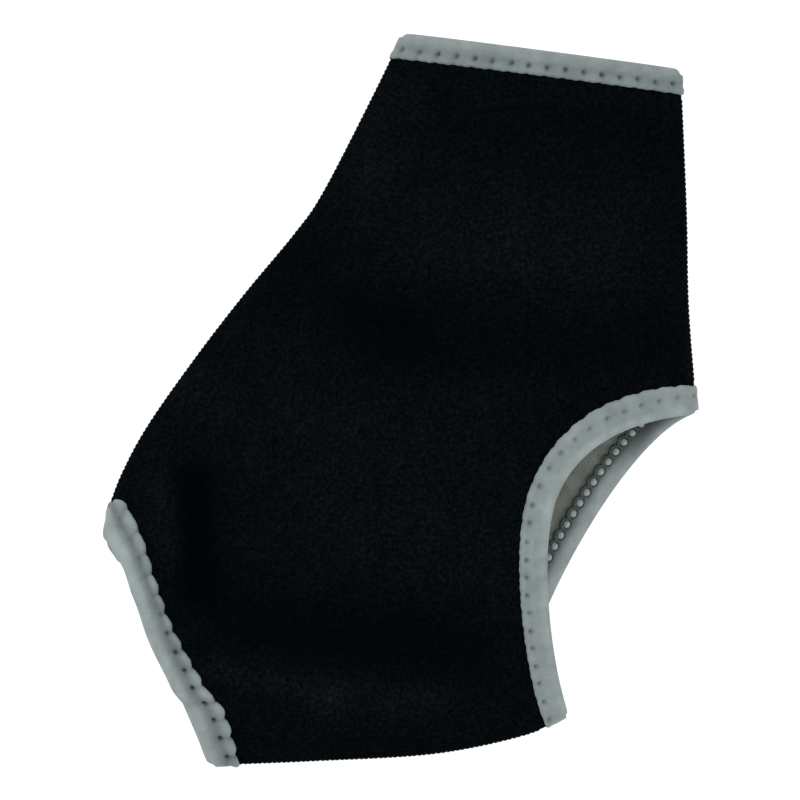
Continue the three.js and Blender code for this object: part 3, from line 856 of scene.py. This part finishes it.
# %% [markdown]
# ## Cloth and thread finishes
# The face is a brushed knit that swallows light, so it has a very low colour, hardly any gloss and a
# broken, mottled nap. The tape and the lining are plain knits: fine rows of loops, seen as small waves in
# colour and height.

# %% Material helpers
BLACK, WHITE = (0, 0, 0, 1), (1, 1, 1, 1)


def linear(r, g, b):
    """A screen colour in the shader's own numbers."""
    return tuple(((c / 255 + 0.055) / 1.055) ** 2.4 if c > 10 else c / 255 / 12.92 for c in (r, g, b)) + (1,)


class Finish:
    """A material with Object coordinates and one Principled shader."""

    def __init__(self, name, roughness, gloss, sheen=0.0, sheen_roughness=0.5, sheen_tint=WHITE):
        self.material = bpy.data.materials.new(name)
        self.material.use_nodes = True
        self.tree = self.material.node_tree
        self.shader = self.tree.nodes["Principled BSDF"]
        values = {"Roughness": roughness, "Specular IOR Level": gloss, "Sheen Weight": sheen,
                  "Sheen Roughness": sheen_roughness, "Sheen Tint": sheen_tint}
        for socket, value in values.items():
            self.shader.inputs[socket].default_value = value
        self.place = self.add("TexCoord").outputs["Object"]

    def add(self, kind, inputs=None, **settings):
        return add_node(self.tree, "ShaderNode" + kind, inputs, **settings)

    def noise(self, size, detail=2.0, rough=0.5):
        inputs = {"Scale": 1 / size, "Detail": detail, "Roughness": rough, "Vector": self.place}
        return self.add("TexNoise", inputs).outputs["Fac"]

    def wave(self, size, direction, place):
        inputs = {"Scale": math.pi / 10 / size, "Distortion": 1.5, "Detail": 1, "Vector": place}
        node = self.add("TexWave", inputs, wave_type="BANDS", bands_direction=direction)
        return node.outputs["Fac"]

    def ramp(self, value, stops):
        node = self.add("ValToRGB", {"Fac": value})
        elements = node.color_ramp.elements
        while len(elements) < len(stops):
            elements.new(0.5)
        for element, (position, colour) in zip(elements, stops):
            element.position, element.color = position, colour
        return node.outputs["Color"]

    def mix(self, factor, a, b, blend="MIX"):
        node = self.add("Mix", {0: factor, 6: a, 7: b}, data_type="RGBA", blend_type=blend)
        return node.outputs[2]

    def maths(self, operation, a, b):
        return self.add("Math", {0: a, 1: b}, operation=operation).outputs[0]

    def own(self, label):
        """A number kept on the piece's own points."""
        return self.add("Attribute", attribute_type="GEOMETRY", attribute_name=label).outputs["Fac"]

    def scaled(self, colour, factor):
        return self.add("VectorMath", {0: colour, "Scale": factor}, operation="SCALE").outputs[0]

    def turned(self, degrees):
        inputs = {"Rotation": (0, 0, math.radians(degrees)), "Vector": self.place}
        return self.add("Mapping", inputs).outputs[0]

    def bump(self, height, distance, strength):
        node = self.add("Bump", {"Strength": strength, "Distance": distance, "Height": height})
        self.tree.links.new(node.outputs["Normal"], self.shader.inputs["Normal"])

    def colour(self, value):
        self.tree.links.new(value, self.shader.inputs["Base Color"])
        return self.material


# %% Black brushed face
def brushed_black():
    f = Finish("brushed_black_face", 0.95, 0.0, sheen=0.0015, sheen_roughness=0.6,
               sheen_tint=(0.7, 0.9, 1, 1))
    tufts = f.noise(0.0011, 3, 0.65)
    cloud = f.noise(0.01, 3, 0.6)
    fine = f.noise(0.0004, 2, 0.6)
    blend = f.mix(0.3, f.ramp(tufts, [(0.32, BLACK), (0.7, WHITE)]), cloud)
    dark, middle, light = linear(1, 1, 1), linear(5.3, 5.6, 5.9), linear(13, 13.8, 14.4)
    colour = f.ramp(blend, [(0.12, dark), (0.5, middle), (0.86, light)])
    painted_fold_light = f.own("painted_fold_light")
    f.bump(f.maths("ADD", tufts, f.maths("MULTIPLY", fine, 0.5)), 0.0005, 0.7)
    # the face is made paler or darker by the painted fold light kept on its points
    colour_with_painted_light = f.scaled(colour, f.maths("MULTIPLY", f.maths("MULTIPLY", painted_fold_light, painted_fold_light), 4))
    return f.colour(f.mix(1.0, colour_with_painted_light, linear(0, 3.2, 5.6), "ADD"))


black_face = brushed_black()


# %% Grey knit tape and olive jersey
def knit(name, low, middle, high, size, roughness, gloss, depth, angle=0, shade=None):
    """Fine rows of loops. size is a loop's width and depth its height, both in metres."""
    f = Finish(name, roughness, gloss, sheen=0.05)
    bent = f.noise(0.004, 1)
    weave = f.turned(angle)
    rib, course = f.wave(size, "X", weave), f.wave(size * 0.8, "Y", weave)
    loops = f.maths("MULTIPLY", rib, course)
    soft = f.mix(0.35, f.ramp(f.noise(0.006, 3, 0.6), [(0.3, BLACK), (0.7, WHITE)]), bent)
    tone = f.mix(0.25, soft, loops)
    fuzz = f.noise(0.0003, 2, 0.6)
    f.bump(f.maths("ADD", loops, f.maths("MULTIPLY", fuzz, 0.6)), depth, 0.6)
    colour = f.ramp(tone, [(0.1, low), (0.5, middle), (0.9, high)])
    # the tape's colour is scaled by the painted light and shade kept on its points
    return f.colour(f.scaled(colour, f.own(shade)) if shade else colour)


grey_tape = knit("grey_knit_tape", linear(118, 128, 128), linear(134, 144, 144), linear(148, 159, 159),
                 size=0.0005, roughness=0.85, gloss=0.15, depth=0.00012, shade="shade")
olive_jersey = knit("olive_jersey", linear(116, 121, 115), linear(138, 143, 136), linear(154, 158, 150),
                    size=0.0007, roughness=0.9, gloss=0.1, depth=0.0002, angle=50)


# %% Threads
def thread(name, dark, light, gloss=0.2):
    """A twisted thread between two colours."""
    f = Finish(name, 0.7, gloss, sheen=0.05)
    twist = f.noise(0.0004, 2, 0.6)
    f.bump(twist, 0.00008, 0.5)
    return f.colour(f.ramp(twist, [(0.3, dark), (0.7, light)]))


black_thread = thread("black_seam_thread", linear(5, 7, 9), linear(14, 17, 20), 0.1)
# the loop thread's dark colour is partly its own and partly painted shade round the pips
loop_thread = thread("dark_chain_thread", linear(68, 79, 78), linear(98, 109, 107))
# the pips are tape, painted paler than the tape: a painted highlight on their domes
pale_pip = thread("pale_chain_pip", linear(140, 152, 149), linear(174, 186, 183))
print("finishes", [m.name for m in bpy.data.materials if m.users])

# %% [markdown]
# ## Sewing the pieces together
# The seams down the shin, the tendon and the sole are flat zigzags in black thread that hold the panels
# edge to edge. Inside each tape runs a chain of loops, with a pip of tape swelling through each loop.

# %% Points with directions
def sew(name, places, along, outwards, tree, thread_material, values):
    """Runs a sewing tree over points in millimetres and keeps the result as a plain mesh."""
    mesh = bpy.data.meshes.new(name)
    mesh.from_pydata(((places + SHIFT) / 1000).tolist(), [], [])
    keep_values(mesh, "along", along, "FLOAT_VECTOR", "vector")
    keep_values(mesh, "outwards", outwards, "FLOAT_VECTOR", "vector")
    carrier = link_object(name + "_points", mesh)
    modifier = carrier.modifiers.new("Sewing", "NODES")
    modifier.node_group = tree
    wanted = {"Thread": thread_material, **values}
    for item in tree.interface.items_tree:
        if item.in_out == "INPUT" and item.name in wanted:
            modifier[item.identifier] = wanted[item.name]
    graph = bpy.context.evaluated_depsgraph_get()
    made = bpy.data.meshes.new_from_object(carrier.evaluated_get(graph))
    bpy.data.objects.remove(carrier)
    print(f"{name}: {len(places)} stitches, {len(made.polygons)} faces")
    return link_object(name, made)


# %% Seam zigzags
SEAM_THREAD = 0.00022  # the thread's radius
SEAM_THREAD_DEPTH = 0.36  # pulled this far into the cloth


def zigzag(name, start_row, end_row, turn, pitch=1.5, width=4.2):
    """Bars that lean left and right in turn across a seam."""
    rows = np.linspace(start_row, end_row, 800)
    line = wall(0, rows, turn, 0)
    reach = reach_along(line)
    count = int(reach[-1] / pitch)
    s = (np.arange(count) + 0.5) * reach[-1] / count
    row = np.interp(s, reach, rows)
    places = wall(0, row, turn, SEAM_THREAD_DEPTH)
    ahead = unit_rows(wall(0, row + 0.002, turn, 0) - wall(0, row - 0.002, turn, 0))
    up = np.tile([0.0, 0.0, 1.0], (count, 1))
    outwards = unit_rows(np.cross(ahead, up))
    outwards *= np.sign((outwards * (wall(0, row, turn, -1) - places)).sum(1))[:, None]
    lean = np.where(np.arange(count) % 2 == 0, 1.0, -1.0)[:, None]
    return sew(name, places, unit_rows(up * width + ahead * lean * pitch), outwards, bar_tree, black_thread,
               {"Length": math.hypot(width, pitch) / 1000, "Thread radius": SEAM_THREAD})


END_MARGIN, HEEL_MARGIN = 0.022, 0.026  # in rows, so that the bars stop under the tapes
shin_zigzag = zigzag("shin_seam_thread", END_MARGIN, 1 - END_MARGIN, 0.0)
tendon_zigzag = zigzag("tendon_seam_thread", END_MARGIN, ROW_A - HEEL_MARGIN, 1.0)
sole_zigzag = zigzag("sole_seam_thread", ROW_B + HEEL_MARGIN, 1 - END_MARGIN, 1.0)

# %% The chain inside each tape
CHAIN_PITCH = {"leg": 3.9, "toe": 4.1, "heel": 3.9}
LOOP_HALF_WIDTH, LOOP_THREAD = 0.0016, 0.00045
PIP_HALF_WIDTH, PIP_HEIGHT = 0.0012, 0.0008
CHAIN_DEPTH = WALL + PROUD - CHAIN_PRESS


def chain(name):
    count = round(evenly(name, 10)[1] / CHAIN_PITCH[name])
    around, _ = evenly(name, count)

    def at(around, more=0.0, depth=CHAIN_DEPTH):
        edge = EDGES[name](np.mod(around, 2))
        return beside(edge, drawn_back(name, edge, CHAIN_INSET[name]) + more, depth)

    places = at(around)
    along = at(around + 0.004) - at(around - 0.004)
    outwards = np.cross(along, at(around, 0.5) - at(around, -0.5))
    deeper = at(around, 0.0, WALL + PROUD + 1) - places
    outwards = unit_rows(outwards * np.sign((outwards * deeper).sum(1))[:, None])
    along = unit_rows(along)
    half = CHAIN_PITCH[name] / 2000
    loops = sew(f"{name}_chain_loops", places, along, outwards, loop_tree, loop_thread,
                {"Half length": half * 0.98, "Half width": LOOP_HALF_WIDTH, "Thread radius": LOOP_THREAD})
    pips = sew(f"{name}_chain_pips", places + outwards * 0.1, along, outwards, pip_tree, pale_pip,
               {"Half length": half * 0.62, "Half width": PIP_HALF_WIDTH, "Height": PIP_HEIGHT})
    return [loops, pips]


chains = {name: chain(name) for name in EDGES}

# %% [markdown]
# ## Putting finishes on and joining the frame
# Each piece takes its finish, rides on the part's one body, and hides the imported solid it stands for.

# %% Finishes and places
def join(piece, material=None, node=None):
    """Puts a piece on the part's body. Sewn pieces already carry their thread."""
    if material:
        piece.data.materials.append(material)
    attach(piece, "root")
    if node:
        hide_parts(node)


join(near_fabric, black_face, "near_panel")
join(far_fabric, black_face, "far_panel")
join(near_jersey, olive_jersey, "near_lining")
join(far_jersey, olive_jersey, "far_lining")
for name, piece in tapes.items():
    join(piece, grey_tape, f"{name}_binding")
for piece in (shin_zigzag, tendon_zigzag, sole_zigzag):
    join(piece)
for piece in sum(chains.values(), []):
    join(piece)

# %% Each tape's length round its edge
for name, piece in tapes.items():
    length = way_round(name)

# %% [markdown]
# ## Floor, light and camera
# The reference is a plain product picture from straight above, so the floor is white and the light soft
# from all round, with one wide light from the top left to shape the folds.

# %% Floor
FLOOR_REACH = 4
floor_corners = [(x * FLOOR_REACH, y * FLOOR_REACH, 0) for x, y in ((-1, -1), (1, -1), (1, 1), (-1, 1))]
floor_mesh = bpy.data.meshes.new("white_floor")
floor_mesh.from_pydata(floor_corners, [], [(0, 1, 2, 3)])
table = Finish("lit_white_table", 0.9, 0.0)
table.shader.inputs["Emission Color"].default_value = WHITE
table.shader.inputs["Emission Strength"].default_value = 0.9
greys = [(0.3, (0.3, 0.3, 0.3, 1)), (0.7, (0.32, 0.32, 0.32, 1))]
floor_mesh.materials.append(table.colour(table.ramp(table.noise(0.02, 2), greys)))
link_object("white_floor", floor_mesh)


# %% Light
def area_light(name, place, size, power):
    """A round soft light that faces the middle of the floor."""
    data = bpy.data.lights.new(name, "AREA")
    data.shape, data.size, data.energy = "DISK", size, power
    lamp = link_object(name, data)
    lamp.location = place
    lamp.rotation_euler = (-Vector(place)).to_track_quat("-Z", "Y").to_euler()


area_light("wide_top_left", (-0.9, 0.9, 1.3), 0.9, 14)
area_light("low_right", (1.2, -0.5, 0.8), 0.8, 4)
world = bpy.data.worlds.new("soft_white")
scene.world = world
world.use_nodes = True
background = world.node_tree.nodes["Background"]
background.inputs["Color"].default_value = WHITE
background.inputs["Strength"].default_value = 0.85
scene.view_settings.view_transform = "Standard"
scene.view_settings.look = "None"

# %% Camera
PICTURE_PIXELS, MM_PER_PIXEL = 800, 0.31
LENS, SENSOR = 600, 36  # a long lens, because the picture shows hardly any perspective
SEAM_LEVEL = 0.0125
camera_data = bpy.data.cameras.new("picture_camera")
camera_data.lens, camera_data.sensor_width = LENS, SENSOR
camera_data.clip_end = 20
camera = link_object("picture_camera", camera_data)
distance = PICTURE_PIXELS * MM_PER_PIXEL / 1000 * LENS / SENSOR
camera.location = (-0.00078, 0.00046, SEAM_LEVEL + distance)
scene.camera = camera
print("camera", round(distance, 3), "m above the seams")
